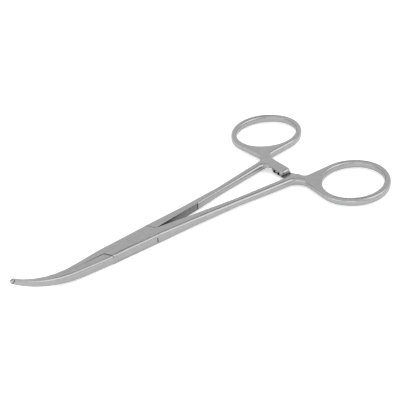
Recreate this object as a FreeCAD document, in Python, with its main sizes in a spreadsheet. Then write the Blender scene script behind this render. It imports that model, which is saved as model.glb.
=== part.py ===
import FreeCAD, Part
import math
import os
import Sketcher
from FreeCAD import Placement, Rotation, Vector

# Hemostat forceps, curved, closed, lying on its side.
# Millimetres. The pivot axis is Z through the origin and the box lies on z = 0.
# The jaws run to -X and curl up, the finger rings lie at +X.
# Every piece is drawn about its own middle plane and lifted by half the box at the end.

doc = FreeCAD.newDocument("hemostat_forceps")
sizes = doc.addObject("Spreadsheet::Sheet", "Sizes")

# Driving sizes, in millimetres and degrees
SIZES = [
    # box lock
    ("box_height", 3.9, "thickness of the box, top to bottom"),
    ("cheek", 1.0, "thickness of each cheek over and under the slot"),
    ("lock_reach", 10.5, "pivot to the point where the two halves part"),
    ("corner_reach", 8.5, "pivot to the outer end of a slanted shoulder"),
    ("box_front", 3.15, "half width of the box at its jaw end"),
    ("box_rear", 3.98, "half width of the box at its shank end"),
    ("box_round", 1.0, "edge rounding of the box"),
    ("front_step", 0.22, "how far the near jaw lies below the box's cheek"),
    ("front_gap", 0.1, "play between the front shoulders and the box"),
    ("rear_gap", 0.22, "play between the rear shoulders and the box"),
    ("slot_play", 0.3, "play at the two ends of the slot"),
    ("slot_gap", 0.04, "play over and under the tongue"),
    ("pin_radius", 1.6, "radius of the riveted pin"),
    ("pin_gap", 0.04, "play round the pin in the tongue"),
    # jaws
    ("curl_start", 20.0, "pivot to the start of the curl"),
    ("curl_radius", 37.0, "radius of the curl at mid height"),
    ("curl_angle", 38.5, "turn of the curl"),
    ("curl_width", 2.4, "width of one jaw at the start of the curl"),
    ("curl_height", 3.45, "height of the jaws at the start of the curl"),
    ("middle_width", 1.5, "width of one jaw half way round the curl"),
    ("middle_height", 2.55, "height of the jaws half way round the curl"),
    ("tip_width", 0.9, "width of one jaw at the tip"),
    ("tip_height", 1.72, "height of the jaws at the tip"),
    ("jaw_round", 1.0, "edge rounding of the jaws at the start of the curl"),
    ("tip_round", 0.72, "edge rounding of the jaws at the tip"),
    ("jaw_gap", 0.04, "gap between the closed jaws"),
    ("ridge_pitch", 1.0, "from one cross ridge to the next"),
    ("ridge_depth", 0.25, "depth of the cross grooves"),
    ("ridge_land", 0.16, "flat between two grooves"),
    ("ridge_start", 1.0, "box to the first groove"),
    # shanks
    ("ground_reach", 30.4, "pivot to the end of the ground stretch of the inner wall"),
    ("ground_round", 0.1, "inner edge rounding of the ground stretch"),
    ("ground_step", 0.25, "how far the inner wall stands out behind the ground stretch"),
    ("inner_round", 0.55, "inner edge rounding of the shanks"),
    ("neck_reach", 24.0, "pivot to the neck section"),
    ("neck_inner", 1.8, "centre line to the inner wall at the neck"),
    ("neck_outer", 4.74, "centre line to the outer wall at the neck"),
    ("neck_height", 3.15, "thickness at the neck"),
    ("neck_round", 1.05, "outer edge rounding at the neck"),
    ("waist_reach", 42.0, "pivot to the waist section"),
    ("waist_inner", 3.62, "centre line to the inner wall at the waist"),
    ("waist_outer", 6.2, "centre line to the outer wall at the waist"),
    ("waist_height", 2.5, "thickness at the waist"),
    ("waist_round", 1.1, "outer edge rounding at the waist"),
    ("shank_reach", 58.0, "pivot to the end of the shank"),
    ("shank_offset", 6.55, "centre line to the middle of the shank's end"),
    ("shank_width", 3.0, "width of the shank's end"),
    ("shank_angle", 6.2, "slope of the shank's end"),
    # finger rings
    ("ring_height", 2.85, "thickness of the ring and the web"),
    ("ring_round", 1.05, "outer edge rounding of the ring, web and shank end"),
    ("ring_setback", 23.2, "shank's end to the ring's centre"),
    ("ring_offset", 22.9, "centre line to the ring's centre"),
    ("ring_width", 2.55, "width of the ring's band along its sides"),
    ("ring_tip", 2.12, "width of the ring's band at its ends"),
    ("ring_end", 10.7, "end radius of the ring's outside"),
    ("ring_tilt", -4.0, "slope of the ring's long axis"),
    ("hole_length", 24.45, "length of the finger hole"),
    ("hole_width", 20.45, "width of the finger hole"),
    ("hole_end", 9.0, "end radius of the finger hole"),
    ("hole_round", 0.95, "edge rounding of the finger hole"),
    ("front_lean", 6.5, "lean of the wall that rises from the shank to the ring"),
    ("web_lean", 3.0, "slope of the web's edge"),
    ("bend_radius", 4.6, "outer bend from the shank into the ring"),
    # ratchet
    ("arm_setback", 7.2, "shank's end to the near side of the ratchet arm"),
    ("arm_width", 4.6, "width of the ratchet arm"),
    ("arm_overlap", 3.1, "how far the arm runs past the centre line"),
    ("arm_root", 2.3, "rounding where the arm leaves the shank and the web"),
    ("arm_tip", 1.6, "corner rounding at the arm's end"),
    ("arm_gap", 0.08, "gap between the two rows of teeth"),
    ("heel_inset", 0.4, "arm's far side back to the heel beside it"),
    ("heel_radius", 1.4, "rounding of the heel"),
    ("web_inset", -0.5, "arm's far side back to the web's inner corner"),
    ("web_radius", 1.8, "rounding of the web's inner corner"),
    ("tooth_pitch", 2.1, "from one ratchet tooth to the next"),
    ("tooth_depth", 0.7, "depth of the ratchet teeth"),
    ("tooth_count", 3, "ratchet teeth on each arm"),
    ("tooth_start", 1.5, "arm's end to the first tooth"),
]
# Sizes that follow from the driving ones
DERIVED = [
    ("ring_centre", "shank_reach + ring_setback", "pivot to the ring's centre"),
    ("arm_reach", "shank_reach + arm_setback", "pivot to the near side of the ratchet arm"),
    ("arm_end", "arm_reach + arm_width", "pivot to the far side of the ratchet arm"),
    ("heel_reach", "arm_end - heel_inset", "pivot to the heel"),
    ("web_reach", "arm_end - web_inset", "pivot to the web's inner corner"),
    ("step_height", "box_height - 2 * front_step", "height of the near jaw beside the box"),
    ("hole_shift", "hole_length / 2 - hole_end", "ring's centre to the centre of the hole's end arc"),
    (
        "hole_side",
        "(hole_shift ^ 2 + (hole_width / 2) ^ 2 - hole_end ^ 2) / (hole_width - 2 * hole_end)",
        "radius of the hole's long sides",
    ),
    ("hole_drop", "hole_side - hole_width / 2", "ring's centre to the centre of the hole's side arc"),
    ("rim_width", "hole_width + 2 * ring_width", "width over the ring"),
    ("ring_shift", "hole_length / 2 + ring_tip - ring_end", "ring's centre to the centre of its end arc"),
    (
        "ring_side",
        "(ring_shift ^ 2 + (rim_width / 2) ^ 2 - ring_end ^ 2) / (rim_width - 2 * ring_end)",
        "radius of the ring's long sides",
    ),
    ("ring_drop", "ring_side - rim_width / 2", "ring's centre to the centre of its side arc"),
    ("slot_height", "box_height - 2 * cheek", "height of the slot"),
    (
        "ground_part",
        "(ground_reach - neck_reach) / (waist_reach - neck_reach)",
        "share of the way from neck to waist where the ground stretch ends",
    ),
    ("ground_inner", "neck_inner + (waist_inner - neck_inner) * ground_part", "inner wall there"),
    ("ground_outer", "neck_outer + (waist_outer - neck_outer) * ground_part", "outer wall there"),
    ("ground_height", "neck_height + (waist_height - neck_height) * ground_part", "thickness there"),
    ("ground_edge", "neck_round + (waist_round - neck_round) * ground_part", "outer edge rounding there"),
    ("slant", "2 * (lock_reach - corner_reach) / (box_front + box_rear)", "slant of the shoulders"),
]
cells = [(alias, str(number), meaning) for alias, number, meaning in SIZES]
cells += [(alias, "=" + formula, meaning) for alias, formula, meaning in DERIVED]
for row, (alias, content, meaning) in enumerate(cells, start=1):
    sizes.set(f"A{row}", meaning)
    sizes.set(f"B{row}", content)
    sizes.setAlias(f"B{row}", alias)
doc.recompute()

ALIASES = {alias for alias, content, meaning in cells}
DEGREE = math.radians(1)
HALF_TURN = 180
FULL_TURN = 360
NEAR = 1e-6
UP = Vector(0, 0, 1)


def full(expression):
    """The expression with the sheet's name before each alias."""
    words = []
    word = ""
    for letter in expression + " ":
        if letter.isalnum() or letter == "_":
            word += letter
            continue
        words.append(f"Sizes.{word}" if word in ALIASES else word)
        words.append(letter)
        word = ""
    return "".join(words).strip()


def value(expression):
    return float(sizes.evalExpression(full(expression)))


def bind(thing, **paths):
    for path, expression in paths.items():
        thing.setExpression(path.replace("__", "."), full(expression))
    return thing


def add(kind, name, **paths):
    return bind(doc.addObject(kind, name), **paths)


def dimension(sketch, label, kind, references, expression, factor=1.0):
    """One measure of a sketch, bound to the sheet."""
    index = sketch.addConstraint(Sketcher.Constraint(kind, *references, value(expression) * factor))
    sketch.renameConstraint(index, label)
    sketch.setExpression(f"Constraints.{label}", full(expression))


def offset(sketch, label, kind, edge, point, expression):
    """Signed distance of a point from the sketch's origin."""
    if value(expression) >= 0:
        dimension(sketch, label, kind, (-1, 1, edge, point), expression)
    else:
        dimension(sketch, label, kind, (edge, point, -1, 1), f"-({expression})")


def line(start, end):
    return Part.LineSegment(start, end)


def arc(centre, radius, start, end):
    """Arc from start to end, degrees, anticlockwise."""
    circle = Part.Circle(centre, UP, radius)
    return Part.ArcOfCircle(circle, math.radians(start), math.radians(end))


# Cross sections, drawn with x away from the centre line and y up


def section(name, inner, outer, height, rounding, inner_rounding=None):
    """Rectangle from inner to outer with rounded corners.
    Its inner corners stay sharp where they have no rounding."""
    sketch = doc.addObject("Sketcher::SketchObject", name)
    low = value(inner)
    high = value(outer)
    top = value(height) / 2
    curve = value(rounding)
    trim = value(inner_rounding) if inner_rounding else 0.0
    sides = {
        "under": line(Vector(low + trim, -top), Vector(high - curve, -top)),
        "under_outer": arc(Vector(high - curve, curve - top), curve, 270, 360),
        "outer": line(Vector(high, curve - top), Vector(high, top - curve)),
        "top_outer": arc(Vector(high - curve, top - curve), curve, 0, 90),
        "top": line(Vector(high - curve, top), Vector(low + trim, top)),
    }
    if trim:
        sides["top_inner"] = arc(Vector(low + trim, top - trim), trim, 90, 180)
    sides["inner"] = line(Vector(low, top - trim), Vector(low, trim - top))
    if trim:
        sides["under_inner"] = arc(Vector(low + trim, trim - top), trim, 180, 270)
    sketch.addGeometry(list(sides.values()), False)
    names = list(sides)
    for edge, side in enumerate(names):
        after = (edge + 1) % len(names)
        sharp = not trim and "inner" in (side, names[after])
        joint = "Coincident" if sharp else "Tangent"
        sketch.addConstraint(Sketcher.Constraint(joint, edge, 2, after, 1))
        if side in ("under", "top"):
            sketch.addConstraint(Sketcher.Constraint("Horizontal", edge))
        if side in ("outer", "inner"):
            sketch.addConstraint(Sketcher.Constraint("Vertical", edge))
        if side.endswith("_outer"):
            dimension(sketch, f"{side}_round", "Radius", (edge,), rounding)
        if side.endswith("_inner"):
            dimension(sketch, f"{side}_round", "Radius", (edge,), inner_rounding)
    offset(sketch, "outer_side", "DistanceX", names.index("outer"), 1, outer)
    offset(sketch, "inner_side", "DistanceX", names.index("inner"), 1, inner)
    offset(sketch, "top_side", "DistanceY", names.index("top"), 1, f"{height} / 2")
    offset(sketch, "under_side", "DistanceY", names.index("under"), 1, f"-{height} / 2")
    return sketch


def stand(sketch, x, y="0", z="0", side=1, pitch=0.0, yaw=0.0):
    """Stand a cross section across the bar at a place, leaning by pitch or yaw degrees.
    Side -1 turns it over to the other side of the centre line."""
    upright = Rotation(Vector(0, side, 0), UP, Vector(side, 0, 0), "XYZ")
    lean = Rotation(Vector(0, 1, 0), pitch)
    turn = Rotation(UP, yaw)
    sketch.Placement = Placement(Vector(value(x), value(y), value(z)), turn * lean * upright)
    bind(sketch, Placement__Base__x=x, Placement__Base__y=y, Placement__Base__z=z)
    return sketch


def loft(name, sections):
    """Solid with straight runs from each section to the next."""
    body = doc.addObject("Part::Loft", name)
    body.Sections = sections
    body.Solid = True
    body.Ruled = True
    return body


def fuse(name, shapes, refine=False):
    body = doc.addObject("Part::MultiFuse", name)
    body.Shapes = shapes
    body.Refine = refine
    return body


def cut(name, base, tool):
    body = doc.addObject("Part::Cut", name)
    body.Base = base
    body.Tool = tool
    return body


def compound(name, shapes):
    body = doc.addObject("Part::Compound", name)
    body.Links = shapes
    return body


# Jaws

CURL_STEPS = 6


def curl_place(turn):
    """Place on the jaws' middle line, turn degrees round the curl."""
    across = f"-(curl_start + curl_radius * sin({turn}))"
    up = f"curl_radius * (1 - cos({turn}))"
    return across, up


def along_curl(start, middle, end, part):
    """A size that runs smoothly through its values at the start, middle and end of the curl."""
    first = f"{start} * (1 - {part}) * (1 - 2 * {part})"
    second = f"4 * {middle} * {part} * (1 - {part})"
    third = f"{end} * {part} * (2 * {part} - 1)"
    return f"{first} + {second} + {third}"


def jaw_blank(name, side, inner, root_height):
    """One jaw with a plain inner side, lofted from the box to the tip, and its round end."""
    root = section(f"{name}_root", inner, "box_front", root_height, "box_round")
    stand(root, "-lock_reach", side=side)
    stations = [root]
    for number in range(CURL_STEPS + 1):
        part = f"{number} / {CURL_STEPS}"
        width = along_curl("curl_width", "middle_width", "tip_width", part)
        height = along_curl("curl_height", "middle_height", "tip_height", part)
        rounding = f"jaw_round + (tip_round - jaw_round) * {part}"
        station = section(f"{name}_curl_{number}", inner, width, f"({height})", rounding)
        across, up = curl_place(f"curl_angle * {part}")
        stand(station, across, z=up, side=side, pitch=value(f"curl_angle * {part}"))
        stations.append(station)
    bar = loft(f"{name}_bar", stations)
    ball = add("Part::Sphere", f"{name}_ball", Radius="tip_height / 2", Angle3=str(HALF_TURN))
    ball.Placement = Placement(Vector(0, 0, 0), Rotation(UP, 0 if side > 0 else HALF_TURN))
    bind(ball, Placement__Base__x=across, Placement__Base__z=up)
    bind(ball, Placement__Base__y=f"{side} * ({inner})")
    return fuse(f"{name}_blank", [bar, ball])


def grooves():
    """Cross grooves of the far jaw: three sided prisms, square to the jaws' middle line."""
    straight = value("curl_start - lock_reach - ridge_start")
    curled = math.radians(value("curl_angle")) * value("curl_radius")
    pitch = value("ridge_pitch")
    prisms = []
    for number in range(int((straight + curled) / pitch)):
        run = (number + 0.5) * pitch
        prism = add(
            "Part::Wedge",
            f"groove_{number + 1}",
            Xmin="-(ridge_pitch - ridge_land) / 2",
            Xmax="(ridge_pitch - ridge_land) / 2",
            Ymin="jaw_gap / 2",
            Ymax="jaw_gap / 2 + ridge_depth",
            Zmin="-box_height",
            Zmax="box_height",
            Z2min="-box_height",
            Z2max="box_height",
        )
        prism.X2min = 0
        prism.X2max = 0
        if run <= straight:
            place = Vector(-value("lock_reach + ridge_start") - run, 0, 0)
            turn = 0.0
        else:
            turn = math.degrees((run - straight) / value("curl_radius"))
            across, up = curl_place(str(turn))
            place = Vector(value(across), 0, value(up))
        prism.Placement = Placement(place, Rotation(Vector(0, 1, 0), turn))
        prisms.append(prism)
    return prisms


def far_space():
    """Space on the far side of the gap between the jaws."""
    space = add(
        "Part::Box",
        "far_space",
        Length="curl_start + curl_radius",
        Width="box_rear",
        Height="curl_radius + 2 * box_height",
    )
    bind(space, Placement__Base__x="-lock_reach - curl_start - curl_radius")
    bind(space, Placement__Base__y="-jaw_gap / 2", Placement__Base__z="-2 * box_height")
    return space


# Shank, web, finger ring and ratchet arm of the male half


def ring_point(along, across, turn="ring_tilt"):
    """Expressions of a point given along and across the ring's own axes."""
    x = f"ring_centre + ({along}) * cos({turn}) - ({across}) * sin({turn})"
    y = f"ring_offset + ({along}) * sin({turn}) + ({across}) * cos({turn})"
    return x, y


def oval(kind):
    """Name, centre and radius of the four arcs of the hole or of the ring's outside."""
    return [
        ("under", ring_point("0", f"{kind}_drop"), f"{kind}_side"),
        ("back", ring_point(f"{kind}_shift", "0"), f"{kind}_end"),
        ("upper", ring_point("0", f"-{kind}_drop"), f"{kind}_side"),
        ("front", ring_point(f"-{kind}_shift", "0"), f"{kind}_end"),
    ]


def oval_knee(kind):
    """Turn from the long axis to the place where an end arc meets a side arc."""
    return math.degrees(math.atan2(value(f"{kind}_drop"), value(f"{kind}_shift")))


def at(point):
    return Vector(value(point[0]), value(point[1]))


def heading(degrees):
    return Vector(math.cos(math.radians(degrees)), math.sin(math.radians(degrees)))


def crossing(place, way, other, other_way):
    """Where two straight lines cross."""
    gap = other - place
    turn = way.x * other_way.y - way.y * other_way.x
    return place + way * ((gap.x * other_way.y - gap.y * other_way.x) / turn)


def rounded(points, radii):
    """Straight runs and tangent arcs through a row of corners, each run and arc with the
    number of the point where the outline enters it and leaves it."""
    runs = []
    place = points[0]
    for before, corner, after, radius in zip(points, points[1:], points[2:], radii):
        arrive = (corner - before).normalize()
        leave = (after - corner).normalize()
        turn = arrive.x * leave.y - arrive.y * leave.x
        angle = math.acos(max(-1.0, min(1.0, arrive.dot(leave))))
        reach = radius * math.tan(angle / 2)
        first = corner - arrive * reach
        last = corner + leave * reach
        side = 1 if turn > 0 else -1
        centre = first + Vector(-arrive.y, arrive.x) * (side * radius)
        runs.append((line(place, first), 1, 2))
        start = math.degrees(math.atan2(first.y - centre.y, first.x - centre.x))
        sweep = math.degrees(angle)
        if side > 0:
            runs.append((arc(centre, radius, start, start + sweep), 1, 2))
        else:
            runs.append((arc(centre, radius, start - sweep, start), 2, 1))
        place = last
    runs.append((line(place, points[-1]), 1, 2))
    return runs


def oval_measures(sketch, kind, edges):
    """Radii of the four arcs and the centres of the end arcs."""
    for (label, place, radius), edge in zip(oval(kind), edges):
        dimension(sketch, f"{label}_radius", "Radius", (edge,), radius)
        if label in ("back", "front"):
            offset(sketch, f"{label}_x", "DistanceX", edge, 3, place[0])
            offset(sketch, f"{label}_y", "DistanceY", edge, 3, place[1])


def frame_outline(name, with_arm):
    """Outline of the shank's end, the web and the outside of the ring, with or without the arm."""
    sketch = doc.addObject("Sketcher::SketchObject", name)
    slope = value("shank_angle")
    along = heading(slope)
    across = heading(slope + HALF_TURN / 2)
    end = Vector(value("shank_reach"), value("shank_offset"))
    half = value("shank_width") / 2
    inner_start = end - across * half
    outer_start = end + across * half

    rim = oval("ring")
    centres = [at(place) for label, place, radius in rim]
    radii = [value(radius) for label, place, radius in rim]
    under_turn = value("web_lean") - HALF_TURN / 2
    front_turn = value("front_lean") + HALF_TURN
    web_touch = centres[0] + heading(under_turn) * radii[0]
    front_touch = centres[3] + heading(front_turn) * radii[3]
    web_way = heading(value("web_lean"))
    front_way = heading(value("front_lean") - HALF_TURN / 2)

    crosswise = Vector(0, 1)
    if with_arm:
        near = value("arm_reach")
        far = value("arm_end")
        tip = -value("arm_overlap")
        corners = [
            (crossing(inner_start, along, Vector(near, 0), crosswise), "arm_root"),
            (Vector(near, tip), "arm_tip"),
            (Vector(far, tip), "arm_tip"),
            (crossing(web_touch, web_way, Vector(far, 0), crosswise), "arm_root"),
        ]
    else:
        heel = Vector(value("heel_reach"), 0)
        toe = Vector(value("web_reach"), 0)
        corners = [
            (crossing(inner_start, along, heel, crosswise), "heel_radius"),
            (crossing(web_touch, web_way, toe, crosswise), "web_radius"),
        ]
    chain = [inner_start] + [place for place, radius in corners] + [web_touch]
    runs = rounded(chain, [value(radius) for place, radius in corners])
    web_line = len(runs) - 1

    tilt = value("ring_tilt")
    knee = oval_knee("ring")
    turns = [under_turn, tilt - knee, tilt + knee, tilt - knee + HALF_TURN, front_turn]
    for centre, radius, start, stop in zip(centres, radii, turns, turns[1:]):
        runs.append((arc(centre, radius, start, stop), 1, 2))
    bend = crossing(front_touch, front_way, outer_start, along)
    runs += rounded([front_touch, bend, outer_start], [value("bend_radius")])
    runs.append((line(outer_start, inner_start), 1, 2))

    sketch.addGeometry([shape for shape, enter, leave in runs], False)
    last = len(runs) - 1
    for edge, (shape, enter, leave) in enumerate(runs):
        before = last if edge == 0 else edge - 1
        joint = "Coincident" if last in (edge, before) else "Tangent"
        sketch.addConstraint(Sketcher.Constraint(joint, before, runs[before][2], edge, enter))
    ring = range(web_line + 1, web_line + 1 + len(rim))
    rise = ring.stop
    oval_measures(sketch, "ring", ring)
    offset(sketch, "under_x", "DistanceX", ring[0], 3, rim[0][1][0])
    for number, (place, radius) in enumerate(corners):
        dimension(sketch, f"corner_{number + 1}", "Radius", (2 * number + 1,), radius)
    dimension(sketch, "bend", "Radius", (rise + 1,), "bend_radius")
    dimension(sketch, "front_way", "Angle", (rise,), f"front_lean - {HALF_TURN} / 2", DEGREE)
    dimension(sketch, "web_way", "Angle", (web_line,), "web_lean", DEGREE)
    dimension(sketch, "shank_way", "Angle", (0,), "shank_angle", DEGREE)
    sketch.addConstraint(Sketcher.Constraint("Parallel", 0, rise + 2))
    sketch.addConstraint(Sketcher.Constraint("Perpendicular", 0, last))
    offset(sketch, "start_x", "DistanceX", last, 2, "shank_reach + shank_width / 2 * sin(shank_angle)")
    offset(sketch, "start_y", "DistanceY", last, 2, "shank_offset - shank_width / 2 * cos(shank_angle)")
    dimension(sketch, "start_width", "Distance", (last,), "shank_width")
    if with_arm:
        near_side, tip_side, far_side = range(2, web_line, 2)
        for edge in (near_side, far_side):
            sketch.addConstraint(Sketcher.Constraint("Vertical", edge))
        sketch.addConstraint(Sketcher.Constraint("Horizontal", tip_side))
        offset(sketch, "arm_near", "DistanceX", near_side, 1, "arm_reach")
        offset(sketch, "arm_far", "DistanceX", far_side, 1, "arm_end")
        offset(sketch, "arm_tip", "DistanceY", tip_side, 1, "-arm_overlap")
    else:
        for number, reach in enumerate(("heel_reach", "web_reach")):
            point = sketch.addGeometry(Part.Point(corners[number][0]), True)
            for edge in (2 * number, 2 * number + 2):
                sketch.addConstraint(Sketcher.Constraint("PointOnObject", point, 1, edge))
            offset(sketch, reach, "DistanceX", point, 1, reach)
    return sketch


def finger_hole(name):
    sketch = doc.addObject("Sketcher::SketchObject", name)
    tilt = value("ring_tilt")
    knee = oval_knee("hole")
    turns = [tilt + knee - HALF_TURN, tilt - knee, tilt + knee, tilt - knee + HALF_TURN]
    turns.append(turns[0] + FULL_TURN)
    arcs = []
    for (label, place, radius), start, stop in zip(oval("hole"), turns, turns[1:]):
        arcs.append(arc(at(place), value(radius), start, stop))
    sketch.addGeometry(arcs, False)
    for edge in range(len(arcs)):
        after = (edge + 1) % len(arcs)
        sketch.addConstraint(Sketcher.Constraint("Tangent", edge, 2, after, 1))
    oval_measures(sketch, "hole", range(len(arcs)))
    return sketch


def plate(name, sketch, up, down):
    body = add("Part::Extrusion", name, LengthFwd=up, LengthRev=down)
    body.Base = sketch
    body.DirMode = "Custom"
    body.Dir = UP
    body.Solid = True
    return body


web_sketch = frame_outline("web_outline", with_arm=False)
arm_sketch = frame_outline("arm_outline", with_arm=True)
hole_sketch = finger_hole("hole_outline")
doc.recompute()

# Web, ring and arm of the far shank, the arm in the upper half of the thickness
web = plate("web_plate", web_sketch, "ring_height / 2", "ring_height / 2")
arm = plate("arm_plate", arm_sketch, "ring_height / 2", "-arm_gap / 2")
hole = plate("finger_hole", hole_sketch, "ring_height", "ring_height")
ring_blank = cut("ring_blank", fuse("ring_solid", [web, arm], refine=True), hole)
doc.recompute()


def on_shank_end(point):
    """True on the plane where the shank meets the ring's frame."""
    end = Vector(value("shank_reach"), value("shank_offset"))
    return abs((Vector(point.x, point.y) - end).dot(heading(value("shank_angle")))) < NEAR


def rounded_edges(blank):
    """The flat frame's upper and lower edges, each with its rounding."""
    half = value("ring_height") / 2
    hole_radii = [value(radius) for label, place, radius in oval("hole")]
    picked = []
    for number, edge in enumerate(blank.Shape.Edges, start=1):
        box = edge.BoundBox
        level = box.ZMax - box.ZMin < NEAR and abs(abs(box.ZMin) - half) < NEAR
        middle = edge.valueAt((edge.FirstParameter + edge.LastParameter) / 2)
        if not level or on_shank_end(middle):
            continue
        curve = getattr(edge.Curve, "Radius", 0.0)
        in_hole = min(abs(curve - radius) for radius in hole_radii) < NEAR
        rounding = value("hole_round" if in_hole else "ring_round")
        picked.append((number, rounding, rounding))
    return picked


frame = doc.addObject("Part::Fillet", "ring_frame")
frame.Base = ring_blank
frame.Edges = rounded_edges(ring_blank)

# Shank from the box to the ring's frame, its inner wall ground flat and sharp beside the box
start = section("shank_start", "jaw_gap / 2", "box_rear", "box_height", "box_round", "ground_round")
neck = section("shank_neck", "neck_inner", "neck_outer", "neck_height", "neck_round", "ground_round")
ground = section(
    "shank_ground", "ground_inner", "ground_outer", "ground_height", "ground_edge", "ground_round"
)
full_bar = section(
    "shank_full", "ground_inner - ground_step", "ground_outer", "ground_height", "ground_edge", "inner_round"
)
waist = section("shank_waist", "waist_inner", "waist_outer", "waist_height", "waist_round", "inner_round")
end = section("shank_end", "-shank_width / 2", "shank_width / 2", "ring_height", "ring_round", "ring_round")
stand(start, "lock_reach")
stand(neck, "neck_reach")
stand(ground, "ground_reach")
stand(full_bar, "ground_reach")
stand(waist, "waist_reach")
stand(end, "shank_reach", "shank_offset", yaw=value("shank_angle"))
ground_bar = loft("shank_ground_bar", [start, neck, ground])
rear_bar = loft("shank_rear_bar", [full_bar, waist, end])

# Ratchet teeth: notches across the arm, steep on the side that holds the jaws shut
notches = []
for number in range(int(value("tooth_count"))):
    notch = add(
        "Part::Wedge",
        f"notch_{number + 1}",
        Xmin="0",
        Xmax="2 * arm_width",
        Ymin="0",
        Ymax="tooth_pitch",
        Zmin="-arm_gap",
        Zmax="tooth_depth",
        X2min="0",
        X2max="2 * arm_width",
        Z2min="-arm_gap",
        Z2max="-arm_gap / 2",
    )
    place = f"-arm_overlap + tooth_start + {number} * tooth_pitch"
    bind(notch, Placement__Base__x="arm_reach - arm_width / 2", Placement__Base__y=place)
    bind(notch, Placement__Base__z="arm_gap / 2")
    notches.append(notch)
rear = cut("far_rear", fuse("rear_solid", [ground_bar, rear_bar, frame]), compound("notches", notches))

# Jaws
far_jaw_blank = jaw_blank("far_jaw", 1, "jaw_gap / 2", "box_height")
near_jaw_blank = jaw_blank("near_jaw", -1, "-ridge_depth + jaw_gap / 2", "step_height")
prisms = grooves()
far_jaw = cut("far_jaw", far_jaw_blank, compound("far_jaw_grooves", prisms))
ridges = bind(compound("near_jaw_ridges", prisms), Placement__Base__y="-jaw_gap")
near_jaw = cut("near_jaw", near_jaw_blank, cut("near_jaw_clear", far_space(), ridges))


# Box lock


def block(name, front_height):
    """The box as a plain block, a little narrower at its jaw end."""
    front = section(f"{name}_front", "-box_front", "box_front", front_height, "box_round", "box_round")
    rear_end = section(f"{name}_rear", "-box_rear", "box_rear", "box_height", "box_round", "box_round")
    stand(front, "-lock_reach")
    stand(rear_end, "lock_reach")
    return loft(name, [front, rear_end])


QUARTERS = {
    "rear_far": Rotation(),
    "rear_near": Rotation(Vector(1, 0, 0), HALF_TURN),
    "front_near": Rotation(UP, HALF_TURN),
    "front_far": Rotation(Vector(0, 1, 0), HALF_TURN),
}


def corner(name, quarter, play):
    """Space behind a slanted shoulder of the box, in one of its four quarters.
    Play moves the slant away from the pivot."""
    wedge = add(
        "Part::Wedge",
        name,
        Xmin=f"lock_reach + {play}",
        Xmax="2 * lock_reach",
        Ymin="0",
        Ymax="2 * box_rear",
        Zmin="-box_height",
        Zmax="box_height",
        X2min=f"lock_reach + {play} - 2 * box_rear * slant",
        X2max="2 * lock_reach",
        Z2min="-box_height",
        Z2max="box_height",
    )
    wedge.Placement = Placement(Vector(0, 0, 0), QUARTERS[quarter])
    return wedge


def slab(name, low, high):
    """Level layer through the whole box."""
    layer = add(
        "Part::Box",
        name,
        Length="2 * (lock_reach + box_round)",
        Width="4 * box_rear",
        Height=f"({high}) - ({low})",
    )
    bind(layer, Placement__Base__x="-lock_reach - box_round", Placement__Base__y="-2 * box_rear")
    return bind(layer, Placement__Base__z=low)


# Each half's own corners of the box, and the play behind their slants
MALE_SIDE = {"front_near": "front_gap", "rear_far": "rear_gap"}
FEMALE_SIDE = {"front_far": "slot_play", "rear_near": "slot_play"}


def pair(name, side, way):
    """Two corners of the box, drawn back from the pivot by half their play, or towards it."""
    wedges = []
    for quarter, gap in side.items():
        wedges.append(corner(f"{name}_{quarter}", quarter, f"{way} * {gap} / 2"))
    return compound(name, wedges)


# Cheeks: the male half's corners are taken off, and the slot runs through between them
slot_layer = slab("slot_layer", "-slot_height / 2", "slot_height / 2")
slot = cut("slot", slot_layer, pair("slot_ends", FEMALE_SIDE, "+1"))
cheeks = cut("cheeks", block("female_block", "box_height"), pair("male_room", MALE_SIDE, "-1"))
slotted = cut("slotted_box", cheeks, slot)

# Tongue: the middle layer, with full height only behind the shoulders
cheek_layers = compound(
    "cheek_layers",
    [
        slab("upper_layer", "slot_height / 2 - slot_gap", "box_height"),
        slab("lower_layer", "-box_height", "-slot_height / 2 + slot_gap"),
    ],
)
cheek_room = cut("cheek_room", cheek_layers, pair("male_shoulders", MALE_SIDE, "+1"))
tongue_blank = cut("tongue_blank", block("male_block", "step_height"), pair("female_room", FEMALE_SIDE, "-1"))
tongue = cut("tongue", tongue_blank, cheek_room)

# The near shank is the far one turned over about the centre line
near_rear = compound("near_rear", [rear])
near_rear.Placement = Placement(Vector(0, 0, 0), Rotation(Vector(1, 0, 0), HALF_TURN))

rivet = add("Part::Cylinder", "rivet", Radius="pin_radius", Height="box_height")
bind(rivet, Placement__Base__z="-box_height / 2")
rivet_play = add("Part::Cylinder", "rivet_play", Radius="pin_radius + pin_gap", Height="box_height")
bind(rivet_play, Placement__Base__z="-box_height / 2")

female = cut("female_half", fuse("female_solid", [slotted, far_jaw, near_rear]), rivet)
male = cut("male_half", fuse("male_solid", [tongue, near_jaw, rear]), rivet_play)
pin = compound("pivot_pin", [rivet])

doc.recompute()
NODES = [female, male, pin]
for node in NODES:
    bind(node, Placement__Base__z="box_height / 2")
doc.recompute()
for thing in doc.Objects:
    if set(thing.State) & {"Invalid", "Error"}:
        raise RuntimeError(f"{thing.Name} did not compute")
os.makedirs("parts", exist_ok=True)
for node in NODES:
    shape = node.Shape
    if shape.isNull() or not shape.isValid() or len(shape.Solids) != 1:
        raise RuntimeError(f"{node.Label} is not one sound solid")
    shape.exportStep(f"parts/{node.Label}.step")
    print(node.Label, len(shape.Faces), "faces", round(shape.Volume, 2), "mm3", shape.BoundBox)
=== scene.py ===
import math

import bpy
from mathutils import Matrix, Vector


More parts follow.
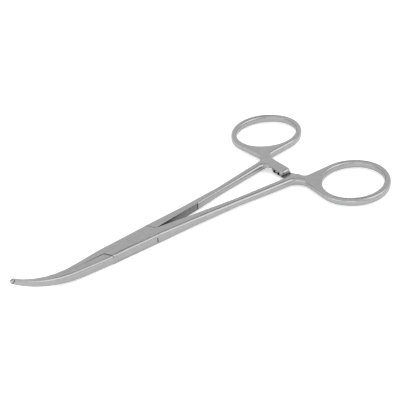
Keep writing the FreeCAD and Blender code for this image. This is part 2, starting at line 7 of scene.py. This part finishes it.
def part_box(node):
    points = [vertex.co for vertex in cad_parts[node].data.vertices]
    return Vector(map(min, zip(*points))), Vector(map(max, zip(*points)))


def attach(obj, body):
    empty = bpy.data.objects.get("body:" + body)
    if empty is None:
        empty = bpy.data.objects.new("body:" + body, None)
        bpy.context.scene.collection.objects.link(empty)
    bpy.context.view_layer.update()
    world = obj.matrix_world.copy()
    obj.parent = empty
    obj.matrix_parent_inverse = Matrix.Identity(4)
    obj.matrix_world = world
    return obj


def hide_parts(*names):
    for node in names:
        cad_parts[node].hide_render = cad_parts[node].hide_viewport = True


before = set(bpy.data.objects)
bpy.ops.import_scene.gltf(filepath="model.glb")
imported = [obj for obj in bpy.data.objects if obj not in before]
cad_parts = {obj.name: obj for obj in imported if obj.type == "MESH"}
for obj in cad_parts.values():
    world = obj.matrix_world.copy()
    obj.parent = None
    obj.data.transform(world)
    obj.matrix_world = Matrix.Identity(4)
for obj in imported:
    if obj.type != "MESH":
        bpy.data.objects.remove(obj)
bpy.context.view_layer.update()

bl_info = {
    "name": "Hemostat Forceps",
    "version": (1, 0, 0),
    "blender": (4, 5, 0),
    "location": "View3D > Sidebar > Forceps",
    "description": "Satin steel finish, studio and camera for curved hemostat forceps",
    "category": "Object",
}

MM = 0.001

# Each half's body, and which way along Y its shank faces the other one
HALVES = {"female_half": ("female", 1), "male_half": ("male", -1)}
PIN = "pivot_pin"
PIN_BODY = "female"
# Rear end of the box lock, where the ground flats and their painted shade begin
LOCK_END = 10.6 * MM
# A face points at the other shank when its normal has at least this share that way
FACING = 0.9

# Length of a polishing line, in widths of it
LINE_LENGTH = 25
# What two noise patterns average when they are added
NOISE_AVERAGE = 1.0
# How open a recess is where its painted shade is darkest and where it has none
PAINTED_SHADE_OPENNESS = (0.35, 0.95)
# Tone of the painted shade in the most closed-in recess, as a share of the plain
# steel's
PAINTED_SHADE_TONE = 0.5

# Point that the camera, the softboxes and the grey card face, halfway up the box lock
TARGET = Vector((33.446 * MM, 4.970 * MM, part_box(PIN)[1].z / 2))
# Softboxes: name, azimuth and elevation in degrees, width and height in metres, and the
# share that each takes of the studio's softbox power
SOFTBOXES = (
    ("right_softbox", 45, 41, 0.85, 0.6, 1.1),
    ("front_softbox", -36, 8, 0.5, 0.25, 1.7),
    ("left_softbox", -80, 8, 0.65, 0.25, 1.7),
)
SOFTBOX_DISTANCE = 0.9
# Grey card: azimuth and elevation in degrees, distance and size in metres
FLAG_AZIMUTH = 118
FLAG_ELEVATION = 54
FLAG_DISTANCE = 1.2
FLAG_SIZE = 0.5
# Side of the square floor in metres
FLOOR_SIZE = 6.0
# Camera: width of the sensor in millimetres, nearest and farthest view in metres
SENSOR_WIDTH = 36.0
NEAREST_VIEW = 0.01
FARTHEST_VIEW = 20.0
WHITE = (1.0, 1.0, 1.0, 1.0)


# Sizes and colours a user would change


class SatinSteel(bpy.types.PropertyGroup):
    tone: bpy.props.FloatVectorProperty(
        name="Tone",
        description="Colour of the tumbled steel",
        subtype="COLOR",
        size=3,
        min=0.0,
        max=1.0,
        default=(0.374, 0.374, 0.376),
    )
    roughness: bpy.props.FloatProperty(
        name="Roughness",
        description="How matt the satin finish is",
        subtype="FACTOR",
        min=0.0,
        max=1.0,
        default=0.25,
    )
    cloud_width: bpy.props.FloatProperty(
        name="Clouds",
        description="Width of the soft clouds that tumbling leaves",
        subtype="DISTANCE",
        unit="LENGTH",
        min=0.0001,
        default=2.2 * MM,
    )
    grain_width: bpy.props.FloatProperty(
        name="Grain",
        description="Width of the grain of the satin finish",
        subtype="DISTANCE",
        unit="LENGTH",
        min=0.00001,
        default=0.5 * MM,
    )
    polish_width: bpy.props.FloatProperty(
        name="Polishing lines",
        description="Width of the fine lines that run along the forceps",
        subtype="DISTANCE",
        unit="LENGTH",
        min=0.00001,
        default=0.12 * MM,
    )
    line_depth: bpy.props.FloatProperty(
        name="Line depth",
        description="Depth of the polishing lines",
        subtype="DISTANCE",
        unit="LENGTH",
        min=0.0,
        default=0.0012 * MM,
    )
    # Reach of the painted shade: occlusion darkens the tone in grooves and inside
    # corners
    recess_width: bpy.props.FloatProperty(
        name="Recesses",
        description="Width of the grooves and inside corners that tumbling leaves dull",
        subtype="DISTANCE",
        unit="LENGTH",
        min=0.0,
        default=0.5 * MM,
    )


class GroundAndShadedSteel(bpy.types.PropertyGroup):
    # Darker than the satin steel as painted shade between the shanks, on flats that are
    # ground
    tone: bpy.props.FloatVectorProperty(
        name="Tone",
        description="Colour of the flats ground between the shanks",
        subtype="COLOR",
        size=3,
        min=0.0,
        max=1.0,
        default=(0.22, 0.22, 0.222),
    )
    roughness: bpy.props.FloatProperty(
        name="Roughness",
        description="How matt the ground flats are",
        subtype="FACTOR",
        min=0.0,
        max=1.0,
        default=0.3,
    )
    reach: bpy.props.FloatProperty(
        name="Reach",
        description="Where the ground flats end, from the pin",
        subtype="DISTANCE",
        unit="LENGTH",
        min=0.0,
        default=30.4 * MM,
    )


class PinSteel(bpy.types.PropertyGroup):
    tone: bpy.props.FloatVectorProperty(
        name="Tone",
        description="Colour of the ground pin",
        subtype="COLOR",
        size=3,
        min=0.0,
        max=1.0,
        default=(0.362, 0.362, 0.364),
    )
    roughness: bpy.props.FloatProperty(
        name="Roughness",
        description="How matt the ground pin is",
        subtype="FACTOR",
        min=0.0,
        max=1.0,
        default=0.27,
    )


class Smoothing(bpy.types.PropertyGroup):
    crease: bpy.props.FloatProperty(
        name="Crease angle",
        description="Edges that turn more than this stay crisp",
        subtype="ANGLE",
        unit="ROTATION",
        min=0.0,
        max=math.pi,
        default=math.radians(32),
    )
    weld: bpy.props.FloatProperty(
        name="Weld",
        description="Corners closer than this become one",
        subtype="DISTANCE",
        unit="LENGTH",
        min=0.0,
        default=0.001 * MM,
    )


class Studio(bpy.types.PropertyGroup):
    floor_tone: bpy.props.FloatVectorProperty(
        name="Floor tone",
        description="Colour of the table under the forceps",
        subtype="COLOR",
        size=3,
        min=0.0,
        max=1.0,
        default=(0.95, 0.95, 0.95),
    )
    glow_in_metal: bpy.props.FloatProperty(
        name="Glow in metal",
        description="Brightness that the lit table adds where metal or glass shows it",
        min=0.0,
        default=0.25,
    )
    glow_in_view: bpy.props.FloatProperty(
        name="Glow in view",
        description="Brightness that the lit table adds where the camera sees it",
        min=0.0,
        default=0.42,
    )
    flag_tone: bpy.props.FloatVectorProperty(
        name="Flag tone",
        description="Colour of the grey card that draws dark lines along the edges",
        subtype="COLOR",
        size=3,
        min=0.0,
        max=1.0,
        default=(0.3, 0.3, 0.3),
    )
    camera_azimuth: bpy.props.FloatProperty(
        name="Camera azimuth",
        description="Direction of the camera round the forceps",
        subtype="ANGLE",
        unit="ROTATION",
        default=math.radians(-37.773),
    )
    camera_elevation: bpy.props.FloatProperty(
        name="Camera elevation",
        description="Height of the camera above the horizon",
        subtype="ANGLE",
        unit="ROTATION",
        default=math.radians(34.514),
    )
    camera_roll: bpy.props.FloatProperty(
        name="Camera roll",
        description="Lean of the camera",
        subtype="ANGLE",
        unit="ROTATION",
        default=math.radians(-2.378),
    )
    camera_distance: bpy.props.FloatProperty(
        name="Camera distance",
        description="Camera to the point it looks at",
        subtype="DISTANCE",
        unit="LENGTH",
        default=334.61 * MM,
    )
    focal_length: bpy.props.FloatProperty(
        name="Focal length",
        description="Focal length of the camera, on a 36 mm sensor",
        unit="CAMERA",
        min=1.0,
        default=86.085,
    )
    softbox_power: bpy.props.FloatProperty(
        name="Softboxes",
        description="Watts to a square metre of cloth, before a softbox's own share",
        min=0.0,
        default=2.8,
    )


POINTERS = {
    "forceps_steel": SatinSteel,
    "forceps_ground": GroundAndShadedSteel,
    "forceps_pin": PinSteel,
    "forceps_smoothing": Smoothing,
    "forceps_studio": Studio,
}


# Steel


def socket(sockets, name):
    """The socket in use, where a node has one of that name for each kind of data."""
    return next(s for s in sockets if s.name == name and s.enabled)


def empty_tree(owner):
    """The node tree of a new material or world, cleared."""
    owner.use_nodes = True
    owner.node_tree.nodes.clear()
    return owner.node_tree


def add_node(tree, kind, place, **settings):
    """A shader node; a setting with a capital is an input socket, others attributes."""
    node = tree.nodes.new(kind)
    node.location = place
    for name, value in settings.items():
        if name[0].isupper():
            node.inputs[name.replace("_", " ")].default_value = value
        else:
            setattr(node, name, value)
    return node


def join(tree, *pairs):
    """Links from outputs to inputs, pair by pair."""
    for output, entry in pairs:
        tree.links.new(output, entry)


def tumbled_and_shaded_group():
    """Clouds, grain and polishing lines of a satin finish, with painted shade darkening
    its recesses.
    """
    tree = bpy.data.node_groups.new("tumbled_and_shaded_surface", "ShaderNodeTree")
    for name, default in (
        ("Cloud Scale", 450.0),
        ("Grain Scale", 2000.0),
        ("Polish Scale", 8000.0),
        ("Tone Depth", 0.2),
        ("Roughness", 0.25),
        ("Roughness Depth", 0.1),
        ("Recess Width", 0.0005),
    ):
        setting = tree.interface.new_socket(
            name, in_out="INPUT", socket_type="NodeSocketFloat"
        )
        setting.default_value = default
    for name in ("Tone", "Roughness", "Height"):
        tree.interface.new_socket(name, in_out="OUTPUT", socket_type="NodeSocketFloat")
    given = add_node(tree, "NodeGroupInput", (-1100, 0))
    result = add_node(tree, "NodeGroupOutput", (500, 0))
    place = add_node(tree, "ShaderNodeTexCoord", (-1100, -300))
    stretch = add_node(
        tree, "ShaderNodeMapping", (-900, -400), Scale=(1 / LINE_LENGTH, 1.0, 1.0)
    )
    noise = "ShaderNodeTexNoise"
    clouds = add_node(tree, noise, (-600, 300), Detail=2.0, Roughness=0.5)
    grain = add_node(tree, noise, (-600, 0), Detail=3.0, Roughness=0.6)
    lines = add_node(tree, noise, (-600, -300), Detail=2.0, Roughness=0.6)
    both = add_node(tree, "ShaderNodeMath", (-350, 160), operation="ADD")
    mottle = add_node(tree, "ShaderNodeMath", (-180, 160), operation="SUBTRACT")
    mottle.inputs[1].default_value = NOISE_AVERAGE
    tone = add_node(tree, "ShaderNodeMath", (0, 160), operation="MULTIPLY_ADD")
    tone.inputs[2].default_value = 1.0
    streaks = add_node(tree, "ShaderNodeMath", (-350, -100), operation="ADD")
    level = add_node(tree, "ShaderNodeMath", (-180, -100), operation="SUBTRACT")
    level.inputs[1].default_value = NOISE_AVERAGE
    rough = add_node(tree, "ShaderNodeMath", (0, -100), operation="MULTIPLY_ADD")
    # Painted shade: the tone darkens where ambient occlusion finds the surface closed
    # in
    recess = add_node(
        tree, "ShaderNodeAmbientOcclusion", (-600, 600), samples=8, only_local=True
    )
    darker = add_node(
        tree,
        "ShaderNodeMapRange",
        (-350, 500),
        From_Min=PAINTED_SHADE_OPENNESS[0],
        From_Max=PAINTED_SHADE_OPENNESS[1],
        To_Min=PAINTED_SHADE_TONE,
    )
    shaded_tone = add_node(tree, "ShaderNodeMath", (200, 300), operation="MULTIPLY")
    join(
        tree,
        (place.outputs["Object"], clouds.inputs["Vector"]),
        (place.outputs["Object"], grain.inputs["Vector"]),
        (place.outputs["Object"], stretch.inputs["Vector"]),
        (stretch.outputs["Vector"], lines.inputs["Vector"]),
        (given.outputs["Cloud Scale"], clouds.inputs["Scale"]),
        (given.outputs["Grain Scale"], grain.inputs["Scale"]),
        (given.outputs["Polish Scale"], lines.inputs["Scale"]),
        (clouds.outputs["Fac"], both.inputs[0]),
        (grain.outputs["Fac"], both.inputs[1]),
        (both.outputs[0], mottle.inputs[0]),
        (mottle.outputs[0], tone.inputs[0]),
        (given.outputs["Tone Depth"], tone.inputs[1]),
        (clouds.outputs["Fac"], streaks.inputs[0]),
        (lines.outputs["Fac"], streaks.inputs[1]),
        (streaks.outputs[0], level.inputs[0]),
        (level.outputs[0], rough.inputs[0]),
        (given.outputs["Roughness Depth"], rough.inputs[1]),
        (given.outputs["Roughness"], rough.inputs[2]),
        (given.outputs["Recess Width"], recess.inputs["Distance"]),
        (recess.outputs["AO"], darker.inputs["Value"]),
        (darker.outputs["Result"], shaded_tone.inputs[0]),
        (tone.outputs[0], shaded_tone.inputs[1]),
        (shaded_tone.outputs[0], result.inputs["Tone"]),
        (rough.outputs[0], result.inputs["Roughness"]),
        (lines.outputs["Fac"], result.inputs["Height"]),
    )
    return tree


def steel(name, look, sizes):
    """Steel of the look's own tone and roughness, with the satin finish's sizes."""
    material = bpy.data.materials.new(name)
    tree = empty_tree(material)
    finish = add_node(
        tree,
        "ShaderNodeGroup",
        (-600, 0),
        node_tree=bpy.data.node_groups.get("tumbled_and_shaded_surface") or tumbled_and_shaded_group(),
        Cloud_Scale=1 / sizes.cloud_width,
        Grain_Scale=1 / sizes.grain_width,
        Polish_Scale=1 / sizes.polish_width,
        Roughness=look.roughness,
        Recess_Width=sizes.recess_width,
    )
    colour = add_node(
        tree, "ShaderNodeMix", (-200, 200), data_type="RGBA", blend_type="MULTIPLY"
    )
    socket(colour.inputs, "Factor").default_value = 1.0
    socket(colour.inputs, "A").default_value = (*look.tone, 1.0)
    lines = add_node(
        tree, "ShaderNodeBump", (-200, -200), Strength=1.0, Distance=sizes.line_depth
    )
    surface = add_node(tree, "ShaderNodeBsdfPrincipled", (100, 0), Metallic=1.0)
    end = add_node(tree, "ShaderNodeOutputMaterial", (400, 0))
    join(
        tree,
        # The finish's tone carries the painted shade of the recesses into the base
        # colour
        (finish.outputs["Tone"], socket(colour.inputs, "B")),
        (socket(colour.outputs, "Result"), surface.inputs["Base Color"]),
        (finish.outputs["Roughness"], surface.inputs["Roughness"]),
        (finish.outputs["Height"], lines.inputs["Height"]),
        (lines.outputs["Normal"], surface.inputs["Normal"]),
        (surface.outputs["BSDF"], end.inputs["Surface"]),
    )
    return material


# Forceps


def finished_copy(node, smoothing):
    """The piece with its triangles joined and its round stretches shaded as one."""
    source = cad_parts[node]
    piece = source.copy()
    piece.data = source.data.copy()
    piece.name = f"{node}_finished"
    piece.data.name = piece.name
    # Without the node's own tags, the copy counts as a piece of its own
    for tag in list(piece.keys()):
        del piece[tag]
    bpy.context.scene.collection.objects.link(piece)
    piece.parent = None
    bpy.ops.object.select_all(action="DESELECT")
    piece.select_set(True)
    bpy.context.view_layer.objects.active = piece
    # The triangles' own normals would dent the flats once their corners are one
    bpy.ops.mesh.customdata_custom_splitnormals_clear()
    bpy.ops.object.mode_set(mode="EDIT")
    bpy.ops.mesh.select_all(action="SELECT")
    bpy.ops.mesh.remove_doubles(threshold=smoothing.weld)
    bpy.ops.mesh.normals_make_consistent(inside=False)
    bpy.ops.object.mode_set(mode="OBJECT")
    bpy.ops.object.shade_smooth_by_angle(angle=smoothing.crease)
    weighted = piece.modifiers.new("even_normals", "WEIGHTED_NORMAL")
    weighted.keep_sharp = True
    bpy.ops.object.modifier_apply(modifier=weighted.name)
    return piece


def give_finish(piece, node, body, slot, *materials):
    """The piece's materials, the body it rides on and the node it stands for."""
    piece.data.materials.clear()
    for material in materials:
        piece.data.materials.append(material)
    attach(piece, body)
    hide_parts(node)


def mark_shaded_ground_flats(piece, inward, reach):
    """The second finish on the flat that faces the other shank, from box to step:
    ground, and darker as painted shade between the shanks.
    """
    for face in piece.data.polygons:
        if LOCK_END < face.center.x < reach and face.normal.y * inward > FACING:
            face.material_index = 1


class FORCEPS_OT_halves(bpy.types.Operator):
    """Finish the two forged halves in satin steel, ground flat between the shanks and
    darker there as painted shade
    """

    bl_idname = "forceps.halves"
    bl_label = "Forged halves"

    def execute(self, context):
        scene = context.scene
        satin = steel("satin_steel", scene.forceps_steel, scene.forceps_steel)
        # The ground flats take a darker tone that paints the shade between the shanks
        ground = steel("ground_shaded_steel", scene.forceps_ground, scene.forceps_steel)
        for node, (body, inward) in HALVES.items():
            piece = finished_copy(node, scene.forceps_smoothing)
            give_finish(piece, node, body, "satin_steel", satin, ground)
            mark_shaded_ground_flats(piece, inward, scene.forceps_ground.reach)
        return {"FINISHED"}


class FORCEPS_OT_pin(bpy.types.Operator):
    """Finish the riveted pin, ground flush with the box"""

    bl_idname = "forceps.pin"
    bl_label = "Pivot pin"

    def execute(self, context):
        scene = context.scene
        material = steel("pin_steel", scene.forceps_pin, scene.forceps_steel)
        piece = finished_copy(PIN, scene.forceps_smoothing)
        give_finish(piece, PIN, PIN_BODY, "pin_steel", material)
        return {"FINISHED"}


# Studio


def face_target(thing, azimuth, elevation, distance, roll=0.0):
    """Put a camera, lamp or card off the target and face it; azimuth 0 is along -Y."""
    level = math.cos(elevation)
    away = Vector(
        (math.sin(azimuth) * level, -math.cos(azimuth) * level, math.sin(elevation))
    )
    thing.location = TARGET + away * distance
    back = (thing.location - TARGET).normalized()
    right = Vector((0, 0, 1)).cross(back).normalized()
    up = back.cross(right)
    rolled_right = right * math.cos(roll) + up * math.sin(roll)
    rolled_up = up * math.cos(roll) - right * math.sin(roll)
    columns = Matrix((rolled_right, rolled_up, back)).transposed()
    thing.rotation_euler = columns.to_euler()


def softbox(name, azimuth, elevation, width, height, power):
    """An area lamp that faces the target, its azimuth and elevation in degrees."""
    data = bpy.data.lights.new(name, "AREA")
    data.shape = "RECTANGLE"
    data.size = width
    data.size_y = height
    data.energy = power
    lamp = bpy.data.objects.new(name, data)
    bpy.context.scene.collection.objects.link(lamp)
    face_target(lamp, math.radians(azimuth), math.radians(elevation), SOFTBOX_DISTANCE)
    lamp.visible_camera = False


def plane(name, size, material):
    """A square sheet of the studio, flat at the origin."""
    bpy.ops.object.select_all(action="DESELECT")
    bpy.ops.mesh.primitive_plane_add(size=size, location=(0, 0, 0))
    sheet = bpy.context.active_object
    sheet.name = name
    sheet.data.materials.append(material)
    return sheet


def paint(name, tone, glow_in_view=0.0, glow_in_metal=0.0):
    """Matt paint that also glows by itself for the camera, or in metal and glass."""
    material = bpy.data.materials.new(name)
    tree = empty_tree(material)
    matt = add_node(tree, "ShaderNodeBsdfDiffuse", (0, 0), Color=(*tone, 1.0))
    path = add_node(tree, "ShaderNodeLightPath", (-800, -200))
    mirrored = add_node(tree, "ShaderNodeMath", (-600, -300), operation="MAXIMUM")
    in_metal = add_node(tree, "ShaderNodeMath", (-400, -300), operation="MULTIPLY")
    in_metal.inputs[1].default_value = glow_in_metal
    strength = add_node(tree, "ShaderNodeMath", (-200, -200), operation="MULTIPLY_ADD")
    strength.inputs[1].default_value = glow_in_view
    glow = add_node(tree, "ShaderNodeEmission", (0, -200), Color=WHITE)
    both = add_node(tree, "ShaderNodeAddShader", (200, 0))
    end = add_node(tree, "ShaderNodeOutputMaterial", (400, 0))
    join(
        tree,
        (path.outputs["Is Glossy Ray"], mirrored.inputs[0]),
        (path.outputs["Is Transmission Ray"], mirrored.inputs[1]),
        (mirrored.outputs[0], in_metal.inputs[0]),
        (path.outputs["Is Camera Ray"], strength.inputs[0]),
        (in_metal.outputs[0], strength.inputs[2]),
        (strength.outputs[0], glow.inputs["Strength"]),
        (matt.outputs[0], both.inputs[0]),
        (glow.outputs[0], both.inputs[1]),
        (both.outputs[0], end.inputs["Surface"]),
    )
    return material


def grey_flag(tone):
    """A card that only the metal sees, as a dark line along its edges."""
    flag = plane("grey_flag", FLAG_SIZE, paint("flag_paint", tone))
    face_target(
        flag, math.radians(FLAG_AZIMUTH), math.radians(FLAG_ELEVATION), FLAG_DISTANCE
    )
    flag.visible_camera = False
    flag.visible_diffuse = False
    flag.visible_shadow = False


def white_room():
    """Even white light all round, at the strength that shows colours as written."""
    world = bpy.data.worlds.new("studio")
    tree = empty_tree(world)
    light = add_node(tree, "ShaderNodeBackground", (0, 0), Color=WHITE, Strength=1.0)
    end = add_node(tree, "ShaderNodeOutputWorld", (200, 0))
    join(tree, (light.outputs[0], end.inputs["Surface"]))
    return world


def photo_camera(look):
    """The camera at the photograph's angle."""
    data = bpy.data.cameras.new("photo_camera")
    data.lens = look.focal_length
    data.sensor_width = SENSOR_WIDTH
    data.clip_start = NEAREST_VIEW
    data.clip_end = FARTHEST_VIEW
    camera = bpy.data.objects.new("photo_camera", data)
    bpy.context.scene.collection.objects.link(camera)
    face_target(
        camera,
        look.camera_azimuth,
        look.camera_elevation,
        look.camera_distance,
        look.camera_roll,
    )
    return camera


class FORCEPS_OT_studio(bpy.types.Operator):
    """Build the pale floor, the soft light and the camera"""

    bl_idname = "forceps.studio"
    bl_label = "Studio"

    def execute(self, context):
        scene = context.scene
        look = scene.forceps_studio
        scene.view_settings.view_transform = "Standard"
        table = paint(
            "floor_paint", look.floor_tone, look.glow_in_view, look.glow_in_metal
        )
        plane("floor", FLOOR_SIZE, table)
        grey_flag(look.flag_tone)
        scene.world = white_room()
        for name, azimuth, elevation, width, height, share in SOFTBOXES:
            power = look.softbox_power * share * width * height
            softbox(name, azimuth, elevation, width, height, power)
        scene.camera = photo_camera(look)
        return {"FINISHED"}


OPERATORS = (FORCEPS_OT_halves, FORCEPS_OT_pin, FORCEPS_OT_studio)


class FORCEPS_PT_panel(bpy.types.Panel):
    bl_idname = "FORCEPS_PT_panel"
    bl_label = "Hemostat forceps"
    bl_space_type = "VIEW_3D"
    bl_region_type = "UI"
    bl_category = "Forceps"

    def draw(self, context):
        for group in POINTERS:
            box = self.layout.box()
            settings = getattr(context.scene, group)
            for name in settings.bl_rna.properties.keys():
                if name not in ("rna_type", "name"):
                    box.prop(settings, name)
        for operator in OPERATORS:
            self.layout.operator(operator.bl_idname)


CLASSES = (*POINTERS.values(), *OPERATORS, FORCEPS_PT_panel)


def register():
    for cls in CLASSES:
        bpy.utils.register_class(cls)
    for name, group in POINTERS.items():
        setattr(bpy.types.Scene, name, bpy.props.PointerProperty(type=group))


def unregister():
    for name in POINTERS:
        delattr(bpy.types.Scene, name)
    for cls in reversed(CLASSES):
        bpy.utils.unregister_class(cls)


def main():
    register()
    bpy.ops.forceps.halves()
    bpy.ops.forceps.pin()
    bpy.ops.forceps.studio()


if __name__ == "__main__":
    main()
